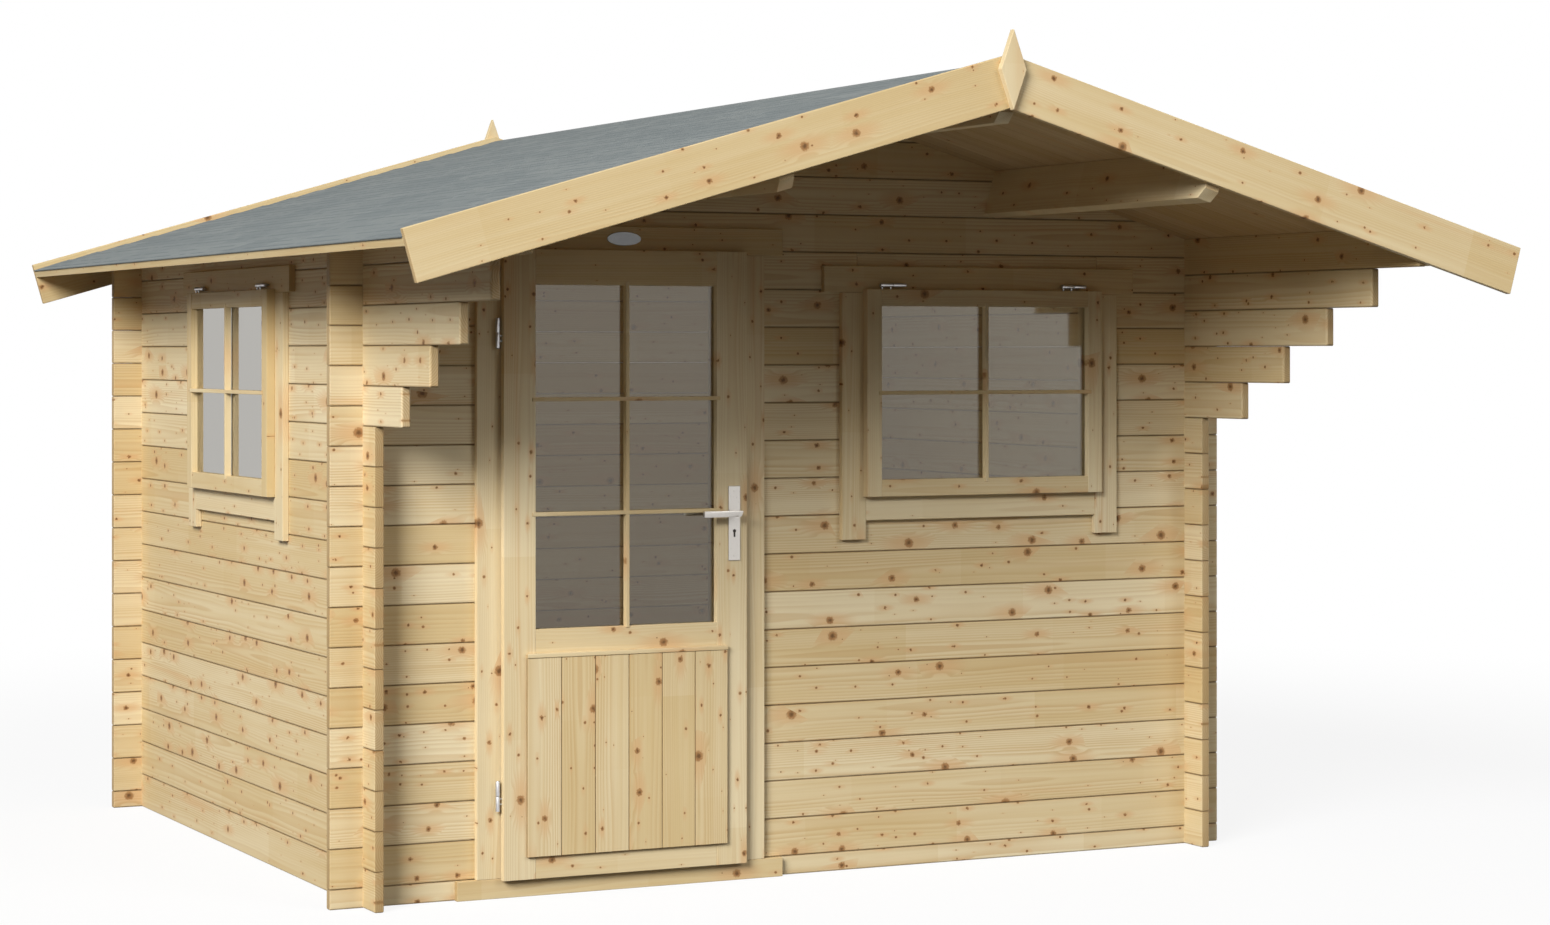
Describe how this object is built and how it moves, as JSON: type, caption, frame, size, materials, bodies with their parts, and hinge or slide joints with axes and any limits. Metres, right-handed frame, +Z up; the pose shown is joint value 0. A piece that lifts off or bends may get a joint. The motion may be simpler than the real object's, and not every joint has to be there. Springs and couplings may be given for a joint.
{
  "type": "log cabin with a canopy",
  "caption": "Small one-room garden cabin of notched logs, with a ridged roof that runs forward as a stepped canopy, a glazed door and top-hung windows.",
  "frame": {"origin": "centre of the bounding box's bottom face, on the ground", "axes": "+X to the right seen from the front, +Y to the rear, +Z up; the door faces -Y"},
  "size_m": [3.452, 3.754, 2.4349],
  "materials": {
    "log_timber": "satin",
    "roof_timber": "satin",
    "trim_timber": "satin",
    "joinery_timber": "satin",
    "floor_timber": "satin",
    "roof_felt": "matte",
    "window_glass": "clear",
    "fitting_steel": "brushed",
    "plaque_metal": "satin"
  },
  "bodies": {
    "cabin": {"left_wall": "log_timber", "right_wall": "log_timber", "rear_wall": "log_timber", "rear_gable": "log_timber", "front_sill_log": "log_timber", "front_wall_left": "log_timber", "front_wall_right": "log_timber", "front_gable": "log_timber", "ridge_purlin": "roof_timber", "left_purlin": "roof_timber", "right_purlin": "roof_timber", "roof_boards_left": "roof_timber", "roof_boards_right": "roof_timber", "roof_cover_left": "roof_felt", "roof_cover_right": "roof_felt", "eave_lath_left": "roof_timber", "eave_lath_right": "roof_timber", "front_bargeboards": "trim_timber", "rear_bargeboards": "trim_timber", "front_finial": "trim_timber", "rear_finial": "trim_timber", "floor_joists": "floor_timber", "floor_boards": "floor_timber", "door_frame": "joinery_timber", "door_side_trims": "trim_timber", "door_head_trim": "trim_timber", "door_threshold": "trim_timber", "door_plaque": "plaque_metal", "door_hinge_sockets": "fitting_steel", "front_window_frame": "joinery_timber", "front_window_trim": "trim_timber", "front_window_sash": "joinery_timber", "front_window_glass": "window_glass", "front_window_hinges": "fitting_steel", "left_window_frame": "joinery_timber", "left_window_trim": "trim_timber", "left_window_sash": "joinery_timber", "left_window_glass": "window_glass", "left_window_hinges": "fitting_steel"},
    "door": {"door_leaf": "joinery_timber", "door_glass": "window_glass", "door_panel": "joinery_timber", "door_hinge_pins": "fitting_steel", "door_handle_plates": "fitting_steel"},
    "handle": {"door_lever": "fitting_steel"}
  },
  "joints": [
    {"name": "door_hinge", "type": "hinge", "parent": "cabin", "child": "door", "pos_m": [-1.003, -0.682, 0.96075], "axis": [0, 0, -1], "range_deg": [0, 110]},
    {"name": "lever_turn", "type": "hinge", "parent": "door", "child": "handle", "pos_m": [-0.256, -0.665, 1.093], "axis": [0, -1, 0], "range_deg": [0, 40], "stiffness_Nm_per_rad": 1.2, "springref_deg": -40.11}
  ]
}
